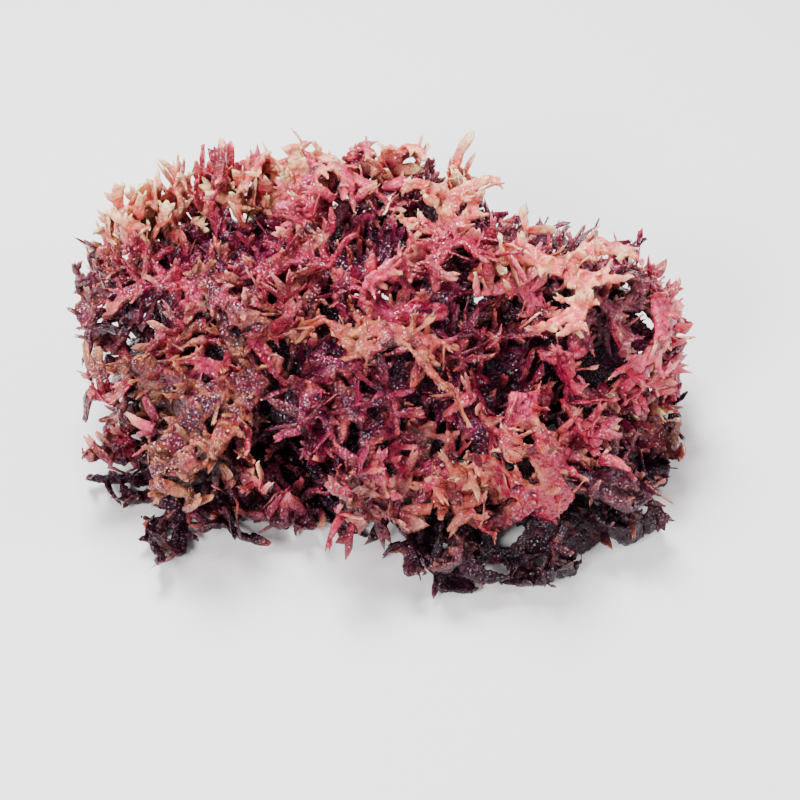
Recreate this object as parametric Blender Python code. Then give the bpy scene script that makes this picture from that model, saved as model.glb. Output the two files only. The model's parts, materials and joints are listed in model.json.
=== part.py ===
"""A clump of red coral seaweed, about as wide as a hand, resting on a flat surface.

The clump is a heap of fleshy, flattened fronds with toothed margins. Four matted, holed webs make
its body: three lie on the surface and one lies over them as a low dome. The other fronds crawl
over those webs, fork, and turn up at their tips. A frond is one blade that is extruded ring by
ring, with its forks extruded from its sides and its teeth raised from the faces that are left.
Each new ring is turned until it is clear of what already lies in the heap.

+X is the clump's right, +Y its back and +Z is up. The origin is under the middle of its box.
"""

import math
import random

import bmesh
import bpy
from mathutils import Matrix, Vector
from mathutils.bvhtree import BVHTree

MM = 0.001

# The mound that the clump fills, as an ellipsoid, and the box that no tip leaves.
MOUND_MIDDLE = Vector((0, 7, 18)) * MM
MOUND_HALF = Vector((72, 46, 34)) * MM
BOX_LOW = Vector((-76, -53, 0.3)) * MM
BOX_HIGH = Vector((75, 54, 60)) * MM

# The clump's right side is rounded: how far into the box's corners it reaches, of 2 for all the way.
CORNER = 1.48

# The crest is highest left of the middle and falls to both sides. A tip's height and its way back
# together stay under this line: its top, its middle, the spread in which it falls by a step, how
# fast it falls beyond, and the waves on it.
CREST_TOP = 108 * MM
CREST_MIDDLE = -12 * MM
CREST_SPREAD = 33 * MM
CREST_FALL = 10 * MM
CREST_POWER = 1.9
CREST_WAVE = 2.0 * MM
CREST_WAVE_LENGTH = 27.5 * MM

# Clearance between two fronds, and the steps by which a root is lifted until it is clear.
GAP = 0.35 * MM
LIFT_STEP = 0.5 * MM
LIFT_TRIES = 20

# Shifts of a root, in millimetres, that are tried in turn where its frond has no room.
ROOT_SHIFTS = ((0, 0, 0), (4, 0, 0), (-4, 0, 0), (0, 4, 0), (0, -4, 0))

# A blade's half thickness at its root, and the share of it left at the tip.
HALF_THICK = 0.95 * MM
TIP_THIN = 0.62

# Stretches between two rings: a short one carries teeth, a long one is plain or forks.
SHORT_STEP = 2.4 * MM
LONG_STEP = 4.7 * MM

# Teeth on the margins and spines on the face, shortest and longest; how many of the places for
# them are used; and the points on a blade's tip, as a share of a tooth, and on its root.
TOOTH_LENGTH = (3.2 * MM, 7.0 * MM)
SPINE_HEIGHT = (2.8 * MM, 5.0 * MM)
TOOTH_SHARE = 0.8
SPINE_SHARE = 0.3
STUD_SHARE = 0.3
POINT_SHARE = 0.6
ROOT_POINT = 1.5 * MM

# The length of the branches is reckoned from a main blade's, and the root of a frond sits on the
# heap with this clearance more.
BRANCH_REACH = 0.75
SEAT_ROOM = 0.1 * MM

# Turns out of the blade's plane and in it, in degrees, in the order in which they are tried.
HUG_PITCHES = (-28, -12, 4, 18, 34, 52, 68)
FREE_PITCHES = (0, 14, -14, 28, -28, 44)
SIDE_TURNS = (0, 20, -20, 42, -42, 64, -64)

# A blade that hugs the heap keeps its upper side at least this much turned outwards.
LEAST_FACING = 0.15

# How many rings are tried for a main blade and for a fork before the longest one found is kept.
GOAL_TRIES = 150
FORK_TRIES = 24

# How sharply a main blade steers towards its planned tip at each ring, in degrees, and how far
# any blade strays.
STEER = 16
STRAY = 9

# The height that the fronds on the dome don't hang below, in millimetres.
HANG = 14

# The angle of a fork to its blade.
FORK_ANGLE = 50

# The whole turn of the last third of a blade, so that its tip stands off the heap, the share of
# the blade's length at which it starts, and its pace against that of a turn of the whole blade.
TIP_LIFT = 40
TIP_START = 0.67
TIP_PACE = 3

# Room that a frond leaves to itself: the share of a stretch or spike next to its base that may
# touch what the base belongs to, how far a fork's first stretch stands out of its face for each
# length of it, and how squarely a spike stands on its face. A frond that crosses itself is grown
# again with another draw.
NEAR_SHARE = 0.12
LEAST_LEAVING = 0.15
LEAST_RISE = 0.4
FLATTEN_ROUNDS = 4
REGROWTHS = 6
REGROWTH_STEP = 1000

# Webs: thickness, how far the lowest waves reach under the floor before they are cut flat, and the
# least radius of a circle in a face that carries a spine, with the width of the ledge round it.
WEB_THICK = 2.4 * MM
WEB_SUNK = -1.3 * MM
STUD_ROOM = 1.6 * MM
STUD_LEDGE = 1.0 * MM

# Lobes on a web's rim: half width and length, least and most, and turns in degrees.
LOBE_HALF_WIDTH = (2.2 * MM, 3.0 * MM)
LOBE_LENGTH = (7 * MM, 14 * MM)
LOBE_FORK = 8 * MM
LOBE_SWAY = 30
LOBE_LIFT = 20
LOWEST_LOBE = 1.4 * MM

# Where the counting of the fronds' own draws of chance starts.
WEB_SEED = 10
LOW_SEED = 100
TOP_SEED = 300

COLOURS = {
    "crimson": ((0.36, 0.030, 0.055), 0.35),
    "rose": ((0.55, 0.12, 0.13), 0.38),
    "peach": ((0.80, 0.42, 0.25), 0.42),
    "tan": ((0.45, 0.20, 0.13), 0.45),
    "mauve": ((0.26, 0.060, 0.080), 0.40),
    "plum": ((0.10, 0.020, 0.045), 0.35),
}

# The webs: colour, middle (x, y), half sizes, turn in degrees, height at the crown and at the rim,
# rise to the back per length, cells along and across, wave height, share of cells left open, share
# of the rim's cells with a lobe, and whether the web lies on the floor.
WEBS = (
    ("web_lower_right", "mauve", (42, -23), (29, 14), 30, 11, 0.7, 0, (9, 6), 3.2, 0.22, 0.6, True),
    ("web_lower_left", "plum", (-30, -3), (27, 16), -8, 9, 0.7, 0, (7, 5), 3.0, 0.12, 0.4, True),
    ("web_lower_back", "plum", (8, 36), (42, 11), 0, 9, 0.7, 0, (9, 4), 2.6, 0.12, 0.25, True),
    ("web_upper", "plum", (-2, 11), (60, 33), 0, 37, 25, 0.30, (11, 7), 4.0, 0.08, 0.2, False),
)

# The low fronds, under the dome: name, colour, root, tip, width, and what else is special.
FLAT = {"facing": (0, -0.25, 1)}
LOW_FRONDS = (
    ("frond_low_left_outer", "plum", (-40, -16, 8), (-55, -32, 3), 4.5, FLAT),
    ("frond_low_left_front", "plum", (-35, -17, 8), (-39, -33, 3), 4.5, FLAT),
    ("frond_low_left_inner", "rose", (-27, -17, 8), (-24, -35, 3), 4.5, FLAT),
    ("frond_low_middle", "plum", (-18, -15, 8), (-8, -32, 3), 4.5, FLAT),
    ("frond_low_left_side", "mauve", (-44, -8, 16), (-60, -18, 8), 5.0, FLAT),
    ("frond_low_right_front", "mauve", (20, -36, 8), (14, -51, 3), 5.0, FLAT),
    ("frond_low_right_inner", "mauve", (18, -32, 8), (2, -41, 3), 5.0, FLAT),
    ("frond_low_right_outer", "mauve", (46, -26, 10), (58, -38, 3), 5.0, FLAT),
    ("frond_low_right_tail", "peach", (60, -12, 12), (75, -5, 13), 4.5, FLAT),
    ("frond_low_back_left", "plum", (-40, 30, 10), (-62, 42, 6), 5.0, FLAT),
    ("frond_low_back_right", "plum", (44, 30, 10), (62, 40, 6), 5.0, FLAT),
)

# Fronds that hang round the dome's rim, and fronds that crawl over its top: how many, and colours.
RIM_FRONDS = 7
RIM_COLOURS = ("crimson", "mauve", "plum", "crimson", "rose", "plum")
TOP_FRONDS = 9
TOP_COLOURS = ("plum", "crimson", "plum", "mauve", "crimson")
BODY_WIDTH = 4.4
BODY = {"forks": 7}
GOLDEN_ANGLE = 2.399963

# The fronds that show on top, from the first laid to the last. Those of the crest stand upright.
CREST = {"free": True, "forks": 9, "angle": 42, "fork_length": 0.7}
BAR = {"sway": -55, "fork_length": 0.3}
SHOWN_FRONDS = (
    ("frond_left_spur", "rose", (-62, 8, 20), (-74, 3, 8), 3.0, {"forks": 0, "lowest": 5}),
    ("frond_left_side", "mauve", (-52, 16, 30), (-75, 19, 20), 4.4, {}),
    ("frond_left_shoulder", "crimson", (-50, 26, 34), (-74, 35, 28), 4.4, {}),
    ("frond_front_bar", "crimson", (11, -18, 26), (-26, -22, 22), 4.0, BAR),
    ("frond_front_right", "rose", (28, -14, 30), (42, -28, 24), 4.0, {}),
    ("frond_front_star", "peach", (36, -26, 22), (18, -30, 24), 5.4, {"forks": 7}),
    ("frond_right_cluster", "rose", (38, -2, 36), (52, -14, 26), 4.4, {"forks": 6}),
    ("frond_right_edge", "rose", (56, 5, 34), (70, -4, 20), 4.4, {"forks": 6}),
    ("fan_front_left", "tan", (-27, -12, 32), (-70, -3, 24), 6.5, {"forks": 9, "fork_length": 0.55}),
    ("fan_front_inner", "tan", (-33, -14, 30), (-52, -22, 18), 6.0, {"forks": 6, "fork_length": 0.6}),
    ("frond_centre_left", "crimson", (-38, 4, 40), (-17, -19, 32), 4.0, {}),
    ("frond_centre_front", "crimson", (21, -11, 34), (0, -16, 30), 4.4, {}),
    ("frond_centre_hook", "tan", (11, -10, 38), (-8, -8, 36), 4.0, {"forks": 3}),
    ("frond_centre_flap", "rose", (14, 1, 42), (-17, 2, 40), 7.5, {"forks": 7, "fork_length": 0.4}),
    ("frond_left_top", "crimson", (-22, 15, 44), (-57, 15, 34), 4.4, {}),
    ("frond_left_top_prongs", "crimson", (-28, 10, 44), (-13, 20, 50), 4.0, {"lift": 60}),
    ("frond_right_strand", "crimson", (28, 27, 46), (17, -4, 40), 4.0, {"forks": 4}),
    ("frond_right_cross", "rose", (40, 0, 40), (21, 0, 40), 4.0, {"forks": 4}),
    ("frond_right_arm", "crimson", (38, 17, 42), (73, 15, 33), 4.8, {}),
    ("frond_back_right", "mauve", (30, 32, 42), (50, 47, 40), 6.0, {}),
    ("crest_left_outer", "peach", (-62, 33, 34), (-70, 46, 32), 4.0, CREST),
    ("crest_left", "peach", (-52, 35, 36), (-58, 46, 42), 4.5, CREST),
    ("crest_left_inner", "rose", (-41, 36, 38), (-45, 47, 50), 4.5, CREST),
    ("crest_middle_left", "peach", (-29, 37, 40), (-31, 48, 57), 5.0, CREST),
    ("crest_middle", "rose", (-16, 38, 40), (-13, 48, 58), 4.5, CREST),
    ("crest_middle_right", "peach", (-2, 38, 40), (1, 48, 57), 4.5, CREST),
    ("crest_right", "peach", (14, 37, 40), (20, 47, 51), 4.5, CREST),
    ("frond_salmon", "peach", (17, 20, 46), (12, 37, 52), 4.0, {"forks": 4, "free": True}),
    ("antler", "peach", (22, 6, 56), (61, 8, 50), 4.4,
     {"forks": 4, "fork_length": 0.5, "sway": -70, "free": True, "lowest": 38}),
)

BOX_FACES = ((0, 1, 2, 3), (4, 5, 6, 7), (0, 1, 5, 4), (1, 2, 6, 5), (2, 3, 7, 6), (3, 0, 4, 7))
SPIKE_FACES = ((0, 1, 2, 3), (0, 1, 4), (1, 2, 4), (2, 3, 4), (3, 0, 4))
STUD_FACES = ((0, 1, 2), (0, 1, 3), (1, 2, 3), (2, 0, 3))


def make_material(name, colour, roughness):
    """The moist flesh of one colour of frond."""
    material = bpy.data.materials.new(name)
    material.use_nodes = True
    shader = material.node_tree.nodes["Principled BSDF"]
    shader.inputs["Base Color"].default_value = (*colour, 1)
    shader.inputs["Roughness"].default_value = roughness
    shader.inputs["Metallic"].default_value = 0
    return material


def outward(point):
    """The direction out of the mound at a point."""
    away = point - MOUND_MIDDLE
    return Vector(away[i] / MOUND_HALF[i] ** 2 for i in range(3)).normalized()


def under_crest(point):
    """Whether a point stays under the line along which the crest falls to both sides."""
    off = abs(point.x - CREST_MIDDLE) / CREST_SPREAD
    wave = CREST_WAVE * math.cos(2 * math.pi * (point.x - 1.5 * CREST_MIDDLE) / CREST_WAVE_LENGTH)
    return point.y + point.z < CREST_TOP - CREST_FALL * off ** CREST_POWER + wave


def in_box(points):
    """Whether no point leaves the box, tops the crest or lies in a corner that the right side rounds."""
    if not all(under_crest(point) for point in points):
        return False
    right = [point for point in points if point.x > 0]
    if any(point.x / BOX_HIGH.x + abs(point.y) / BOX_HIGH.y > CORNER for point in right):
        return False
    return all(BOX_LOW[i] <= point[i] <= BOX_HIGH[i] for point in points for i in range(3))


def place_key(face):
    """Faces are always taken in the order of their places."""
    return tuple(round(value / MM, 3) for value in face.calc_center_median())


class Solid:
    """A small closed shape to test for meeting others, and the stretch that it belongs to."""

    def __init__(self, points, faces, owner=None):
        self.tree, self.owner = BVHTree.FromPolygons(points, faces), owner
        self.low = [min(point[i] for point in points) for i in range(3)]
        self.high = [max(point[i] for point in points) for i in range(3)]

    def meets(self, other):
        if any(self.high[i] < other.low[i] or other.high[i] < self.low[i] for i in range(3)):
            return False
        return bool(self.tree.overlap(other.tree))


class Heap:
    """Everything that already lies in the clump, as one tree of faces."""

    def __init__(self):
        self.points, self.faces, self.tree = [], [], None

    def add(self, bm):
        first = len(self.points)
        bm.verts.index_update()
        self.points += [vert.co.copy() for vert in bm.verts]
        self.faces += [[first + vert.index for vert in face.verts] for face in bm.faces]
        self.tree = BVHTree.FromPolygons(self.points, self.faces)

    def meets(self, solid):
        return self.tree is not None and bool(self.tree.overlap(solid.tree))

    def surface_above(self, point, up, reach=60 * MM):
        """Where a line that comes in from outside, through point, first meets the heap."""
        hit = self.tree.ray_cast(point + up * reach, -up, 2 * reach)[0] if self.tree else None
        return point if hit is None else hit


class Ring:
    """One cross-section of a blade: its middle, the way ahead and its upper side."""

    def __init__(self, middle, ahead, up, half_width, half_thick, real=None):
        self.middle, self.ahead, self.up = middle, ahead, up
        self.half_width, self.half_thick, self.real = half_width, half_thick, real

    @property
    def left(self):
        return self.up.cross(self.ahead).normalized()

    def corners(self, margin=0.0, shift=0.0):
        if self.real:
            spread, middle = 1 + 2 * margin / self.half_thick, self.middle + self.ahead * shift
            return [middle + (corner - self.middle) * spread for corner in self.real]
        side = self.left * (self.half_width + margin)
        face = self.up * (self.half_thick + margin)
        middle = self.middle + self.ahead * shift
        return [middle + side + face, middle - side + face, middle - side - face, middle + side - face]

    def turned(self, sideways, pitch, step, half_width, half_thick):
        """The next ring, a step ahead, turned in degrees in the blade's plane and out of it."""
        ahead = Matrix.Rotation(math.radians(sideways), 3, self.up) @ self.ahead
        across = self.up.cross(ahead).normalized()
        ahead = (Matrix.Rotation(math.radians(-pitch), 3, across) @ ahead).normalized()
        middle = self.middle + (self.ahead + ahead).normalized() * step
        return Ring(middle, ahead, ahead.cross(across).normalized(), half_width, half_thick)


def stretch_solid(near, far, margin, owner=None, start=0.0):
    """The stretch between two rings with a margin round it, from a share start of its length on."""
    first = [a.lerp(b, start) for a, b in zip(near.corners(margin), far.corners(margin))]
    return Solid(first + far.corners(margin, margin), BOX_FACES, owner)


def steering(ring, goal):
    """The turn in the blade's plane, in degrees, that brings it back on its way to its goal."""
    if goal is None:
        return 0.0
    way = goal - ring.middle
    off = math.degrees(math.atan2(way.dot(ring.left), way.dot(ring.ahead)))
    return max(-STEER, min(STEER, off))


def width_share(along):
    """A blade is narrow at its root, widest at a third of its length and drawn out to its tip."""
    widest = 0.35
    if along < widest:
        return 0.6 + 0.4 * math.sin(0.5 * math.pi * along / widest)
    return 1.0 - 0.6 * ((along - widest) / (1 - widest)) ** 1.4


class Frond:
    """A frond while it grows: its mesh, its blades and the solids that it keeps clear of itself."""

    def __init__(self, heap, seed, facing=None, lowest=0.0):
        self.heap, self.draw = heap, random.Random(seed)
        self.facing, self.lowest = facing, lowest
        self.bm, self.own, self.blades, self.peaks = bmesh.new(), [], [], []

    def crossings(self):
        """Pairs of the frond's own faces that cross, each as its two sets of verts."""
        bmesh.ops.triangulate(self.bm, faces=self.bm.faces)
        self.bm.verts.index_update()
        self.bm.verts.ensure_lookup_table()
        points = [vert.co.copy() for vert in self.bm.verts]
        faces = [[vert.index for vert in face.verts] for face in self.bm.faces]
        tree = BVHTree.FromPolygons(points, faces)
        pairs = [(faces[i], faces[j]) for i, j in tree.overlap(tree) if i < j]
        return [
            [self.bm.verts[index] for index in first + second]
            for first, second in pairs if not set(first) & set(second)
        ]

    def flatten_crossings(self):
        """Takes away each spike that crosses something; False if anything still crosses."""
        for _ in range(FLATTEN_ROUNDS):
            crossed = self.crossings()
            if not crossed:
                return True
            guilty = {vert for verts in crossed for vert in verts} & set(self.peaks)
            if not guilty:
                return False
            for peak in [vert for vert in self.peaks if vert in guilty]:
                self.peaks.remove(peak)
                faces = list(peak.link_faces)
                rim = [edge for face in faces for edge in face.edges if peak not in edge.verts]
                self.bm.verts.remove(peak)
                bmesh.ops.contextual_create(self.bm, geom=rim)
        return not self.crossings()

    def clear(self, solid, others, apart=()):
        """Whether a solid is clear of the heap and of the frond's own solids, but for some owners."""
        if self.heap.meets(solid):
            return False
        return not any(other.owner not in apart and solid.meets(other) for other in others)

    def clear_turns(self, ring, step, half_width, half_thick, turn, curl, hugging, others, near, base):
        """The turns of the next ring that are clear of everything, the best ones first."""
        sharpest = math.degrees(0.8 * step / half_width)
        for side_turn in SIDE_TURNS:
            sideways = max(-sharpest, min(sharpest, turn + side_turn))
            for pitch in HUG_PITCHES if hugging else FREE_PITCHES:
                trial = ring.turned(sideways, curl + pitch, step, half_width, half_thick)
                if trial.middle.z < self.lowest or not in_box(trial.corners(GAP)):
                    continue
                if hugging and trial.up.dot(self.facing or outward(trial.middle)) < LEAST_FACING:
                    continue
                if base and not self.leaves(ring, trial):
                    continue
                if self.heap.meets(stretch_solid(ring, trial, GAP)):
                    continue
                own = stretch_solid(ring, trial, GAP / 2, None, 0.5 if base else 0.0)
                if any(other.owner != base and own.meets(other) for other in others):
                    continue
                bare = stretch_solid(ring, trial, 0.0, None, NEAR_SHARE)
                if not any(other.owner != base and bare.meets(other) for other in near):
                    yield trial

    def leaves(self, ring, trial):
        """Whether the first stretch of a fork stands clear of the face that it grows out of."""
        first, second, third, fourth = ring.real
        normal = (third - first).cross(fourth - second).normalized()
        if normal.dot(ring.ahead) < 0:
            normal = -normal
        least = LEAST_LEAVING * (trial.middle - ring.middle).length
        return all((corner - ring.middle).dot(normal) > least for corner in trial.corners())

    def plan_blade(self, ring, length, half_width, sway, lift, hugging, base, goal):
        """The rings of a blade, found by going back a ring wherever the way ahead is closed."""
        steps = []
        while sum(steps) < length:
            step = SHORT_STEP if len(steps) % 2 else LONG_STEP
            steps.append(step * self.draw.uniform(0.88, 1.14))
        reach, strays = sum(steps), [self.draw.uniform(-STRAY, STRAY) for _ in steps]
        number_of_blade, path, boxes, waiting = len(self.blades), [ring], [], []
        best, tries = ([ring], []), GOAL_TRIES if goal else FORK_TRIES
        while tries > 0 and len(best[0]) <= len(steps):
            tries -= 1
            number = len(path) - 1
            if len(waiting) == number:
                last, along = path[-1], sum(steps[:number + 1]) / reach
                rising = along > TIP_START
                share = steps[number] / reach
                turn = sway * share + steering(last, goal) + strays[number]
                curl = lift * share * TIP_PACE if rising else 0.0
                waiting.append(self.clear_turns(
                    last, steps[number], half_width * width_share(along),
                    HALF_THICK * (1 - (1 - TIP_THIN) * along), turn, curl,
                    hugging and not rising, self.own + boxes[:-2],
                    boxes[-2:-1] if boxes else self.own, base if number == 0 else None,
                ))
            trial = next(waiting[-1], None)
            if trial is None:
                waiting.pop()
                if not boxes:
                    break
                path.pop()
                boxes.pop()
                continue
            boxes.append(stretch_solid(path[-1], trial, 0.0, (number_of_blade, number)))
            path.append(trial)
            if len(path) > len(best[0]):
                best = (path[:], boxes[:])
        return best[0], best[1], len(best[0]) > len(steps)

    def build_blade(self, verts, path, boxes):
        """Extrudes the planned rings from a ring of four verts and keeps the side faces open."""
        stations = [(path[0], verts)]
        for ring in path[1:]:
            stations.append((ring, [self.bm.verts.new(corner) for corner in ring.corners()]))
        blade = {"stations": stations, "sides": {}, "number": len(self.blades)}
        for number in range(len(stations) - 1):
            near, far = stations[number][1], stations[number + 1][1]
            for left, right in ((0, 1), (3, 2)):
                self.bm.faces.new((near[left], near[right], far[right]))
                self.bm.faces.new((near[left], far[right], far[left]))
            blade["sides"][number, "left"] = (near[0], far[0], far[3], near[3])
            blade["sides"][number, "right"] = (far[1], near[1], near[2], far[2])
        self.own += boxes
        self.blades.append(blade)
        return blade

    def grow(self, verts, ring, length, half_width, sway, lift, hugging, base):
        """Plans and extrudes a blade from a ring of four verts; None where there's no room. sway is
        its whole turn in its own plane and lift that of its last third out of it."""
        path, boxes, _ = self.plan_blade(ring, length, half_width, sway, lift, hugging, base, None)
        return self.build_blade(list(verts), path, boxes) if boxes else None

    def fork(self, blade, number, side, length, half_width, angle, sway, lift, hugging):
        """Grows a branch out of one side of a long stretch and uses up that side's face."""
        if (number, side) not in blade["sides"]:
            return None
        near, far = blade["stations"][number][0], blade["stations"][number + 1][0]
        verts = blade["sides"][number, side]
        middle = sum((vert.co for vert in verts), Vector()) / 4
        up = (near.up + far.up).normalized()
        turn = math.radians(angle if side == "left" else -angle)
        ahead = Matrix.Rotation(turn, 3, up) @ far.ahead
        ahead = (ahead - up * ahead.dot(up)).normalized()
        span = min((near.middle - far.middle).length / 2, half_width)
        ring = Ring(middle, ahead, up, span, far.half_thick, [vert.co.copy() for vert in verts])
        base = (blade["number"], number)
        grown = self.grow(verts, ring, length, half_width, sway, lift, hugging, base)
        if grown:
            del blade["sides"][number, side]
        return grown

    def branch_out(self, axis, forks, length, half_width, angle, lift, hugging):
        """Forks on alternate sides of a blade's long stretches, the longer ones with a second fork."""
        long_ones = list(range(0, len(axis["stations"]) - 1, 2))
        places = [(number, side) for number in long_ones for side in ("left", "right")]
        keep = max(1, len(places) / max(1, forks))
        chosen = [places[int(i * keep)] for i in range(min(forks, len(places)))]
        for number, side in chosen:
            taper = 1 - 0.45 * number / max(1, len(axis["stations"]))
            reach = length * taper * self.draw.uniform(0.75, 1.2)
            branch = self.fork(
                axis, number, side, reach, half_width * 0.8, angle + self.draw.uniform(-9, 9),
                self.draw.uniform(-35, 35), lift, hugging,
            )
            if branch and len(branch["stations"]) > 3:
                other = self.draw.choice(("left", "right"))
                self.fork(
                    branch, 2, other, reach * 0.55, half_width * 0.62, angle * 0.9,
                    self.draw.uniform(-25, 25), lift, hugging,
                )

    def spike(self, verts, outwards, length, owner):
        """Raises a tooth from a face, shorter where it wouldn't be clear; False if none fits."""
        middle = sum((vert.co for vert in verts), Vector()) / len(verts)
        normal = (verts[2].co - verts[0].co).cross(verts[3].co - verts[1].co).normalized()
        if abs(normal.dot(outwards)) < LEAST_RISE:
            return False
        for share in (1.0, 0.65, 0.4):
            apex = middle + outwards * length * share
            tip = apex + outwards * GAP
            full = [middle + (vert.co - middle) * 1.1 + (apex - middle) * 0.05 for vert in verts]
            inner = [middle.lerp(vert.co, 0.92) + (apex - middle) * NEAR_SHARE for vert in verts]
            if tip.z < self.lowest or not in_box([tip]):
                continue
            if self.heap.meets(Solid(full + [tip], SPIKE_FACES)):
                continue
            spike = Solid(inner + [tip], SPIKE_FACES)
            if self.clear(spike, self.own, (owner,)):
                peak = self.bm.verts.new(apex)
                for first, second in zip(verts, verts[1:] + verts[:1]):
                    self.bm.faces.new((first, second, peak))
                self.own.append(spike)
                self.peaks.append(peak)
                return True
        return False

    def dress(self):
        """A point on each blade's end, teeth on the free margins and spines on the upper face."""
        for blade in self.blades:
            stations = blade["stations"]
            last, end = stations[-1]
            owner = (blade["number"], len(stations) - 2)
            length = last.half_width + self.draw.uniform(*TOOTH_LENGTH) * POINT_SHARE
            if not self.spike(list(end), last.ahead, length, owner):
                self.bm.faces.new(end)
        for blade in self.blades:
            stations = blade["stations"]
            for (number, side), verts in blade["sides"].items():
                ring = stations[number + 1][0]
                out = ring.left if side == "left" else -ring.left
                lean, rise = self.draw.uniform(0.3, 1.0), self.draw.uniform(-0.3, 0.8)
                direction = (out + ring.ahead * lean + ring.up * rise).normalized()
                wanted = number % 2 == 1 and self.draw.random() < TOOTH_SHARE
                length = self.draw.uniform(*TOOTH_LENGTH)
                owner = (blade["number"], number)
                if not (wanted and self.spike(list(verts), direction, length, owner)):
                    self.bm.faces.new(verts)
            for number in range(1, len(stations) - 1, 2):
                if self.draw.random() < SPINE_SHARE:
                    owner = (blade["number"], number)
                    self.raise_spine(stations[number][1], stations[number + 1], owner)

    def raise_spine(self, near, station, owner):
        """A spine that stands on a short stretch of the upper face and leans to the tip."""
        ring, far = station
        edge = next(edge for edge in near[0].link_edges if far[1] in edge.verts)
        halves = list(edge.link_faces)
        direction = (ring.up + ring.ahead * self.draw.uniform(0.2, 0.9)).normalized()
        height = self.draw.uniform(*SPINE_HEIGHT)
        if self.spike([near[0], near[1], far[1], far[0]], direction, height, owner):
            for face in halves:
                self.bm.faces.remove(face)
            self.bm.edges.remove(edge)

    def finish(self, name, material):
        """Lays the frond in the heap and turns it into the named object."""
        bmesh.ops.recalc_face_normals(self.bm, faces=self.bm.faces)
        if self.bm.calc_volume(signed=True) < 0:
            bmesh.ops.reverse_faces(self.bm, faces=self.bm.faces)
        self.heap.add(self.bm)
        mesh = bpy.data.meshes.new(name)
        self.bm.to_mesh(mesh)
        self.bm.free()
        mesh.materials.append(material)
        obj = bpy.data.objects.new(name, mesh)
        bpy.context.scene.collection.objects.link(obj)
        return obj


def on_disc(u, v):
    """A square grid's point moved onto a round disc."""
    return u * math.sqrt(1 - v * v / 2), v * math.sqrt(1 - u * u / 2)


def wavy_disc(bm, draw, middle, half, turn, crown, rim, slope, cells, wave, foot):
    """A ragged, wavy disc of square cells, domed from its crown to its rim."""
    bmesh.ops.create_grid(bm, x_segments=cells[0], y_segments=cells[1], size=1)
    phases = [draw.uniform(0, 2 * math.pi) for _ in range(4)]
    spin = Matrix.Rotation(math.radians(turn), 2)
    for vert in bm.verts:
        u, v = on_disc(vert.co.x, vert.co.y)
        ragged = 1 + 0.08 * math.sin(5 * math.atan2(v, u) + phases[0]) + draw.uniform(-0.05, 0.05)
        flat = spin @ Vector((u * half[0], v * half[1])) * ragged
        x, y = middle[0] + flat.x, middle[1] + flat.y
        ripple = (
            math.sin(x / 4.6 + phases[1]) * math.cos(y / 5.4 + phases[2])
            + 0.7 * math.sin((x + y) / 3.3 + phases[3]) + 0.7 * math.cos((x - 1.4 * y) / 7.0)
        )
        z = rim + (crown - rim) * (1 - math.hypot(u, v) ** 2.2) + slope * flat.y + wave * ripple / 2
        vert.co = Vector((x, y, max(z, WEB_SUNK / MM) if foot else z)) * MM


def open_cells(bm, draw, share):
    """Opens some cells away from the rim, never two that touch."""
    opened = set()
    chosen = []
    for face in sorted(bm.faces, key=place_key):
        on_rim = any(edge.is_boundary for vert in face.verts for edge in vert.link_edges)
        if not on_rim and draw.random() < share and not opened & set(face.verts):
            opened.update(face.verts)
            chosen.append(face)
    bmesh.ops.delete(bm, geom=chosen, context="FACES_ONLY")


def cut_foot(bm):
    """Cuts away what lies below the floor, which leaves flat spots to rest on."""
    cut = bmesh.ops.bisect_plane(
        bm, geom=list(bm.verts) + list(bm.edges) + list(bm.faces),
        plane_co=(0, 0, 0), plane_no=(0, 0, -1), clear_outer=True,
    )
    edges = [item for item in cut["geom_cut"] if isinstance(item, bmesh.types.BMEdge)]
    bmesh.ops.holes_fill(bm, edges=edges)


def make_web(heap, seed, name, material, middle, half, turn, crown, rim, slope, cells, wave, opened,
             lobes, foot):
    """A matted web: a wavy sheet with openings, lobes round its rim and spines on its face."""
    web = Frond(heap, seed, Vector((0, 0, 1)) if foot else None)
    bm, draw = web.bm, web.draw
    wavy_disc(bm, draw, middle, half, turn, crown, rim, slope, cells, wave, foot)
    rim_places = {
        vert.co.xy.to_tuple(6) for vert in bm.verts if any(edge.is_boundary for edge in vert.link_edges)
    }
    open_cells(bm, draw, opened)
    bmesh.ops.triangulate(bm, faces=bm.faces)
    raised = bmesh.ops.extrude_face_region(bm, geom=list(bm.faces), use_keep_orig=True)
    for item in raised["geom"]:
        if isinstance(item, bmesh.types.BMVert):
            item.co.z += WEB_THICK
    bmesh.ops.recalc_face_normals(bm, faces=bm.faces)
    if foot:
        cut_foot(bm)
    bm.verts.index_update()
    points = [vert.co.copy() for vert in bm.verts]
    web.own.append(Solid(points, [[vert.index for vert in face.verts] for face in bm.faces], "sheet"))
    outer = [
        face for face in bm.faces if len(face.verts) == 4 and face.calc_center_median().z > LOWEST_LOBE
        and all(vert.co.xy.to_tuple(6) in rim_places for vert in face.verts)
    ]
    for face in sorted(outer, key=place_key):
        if draw.random() < lobes:
            grow_lobe(web, face)
    web.dress()
    upper = [face for face in bm.faces if len(face.verts) == 3 and face.normal.z > 0.6]
    for face in sorted(upper, key=place_key):
        if 2 * face.calc_area() / face.calc_perimeter() > STUD_ROOM and draw.random() < STUD_SHARE:
            stud(web, face)
    bmesh.ops.triangulate(bm, faces=[face for face in bm.faces if len(face.verts) > 4])
    web.flatten_crossings()
    return web.finish(name, material)


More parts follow.
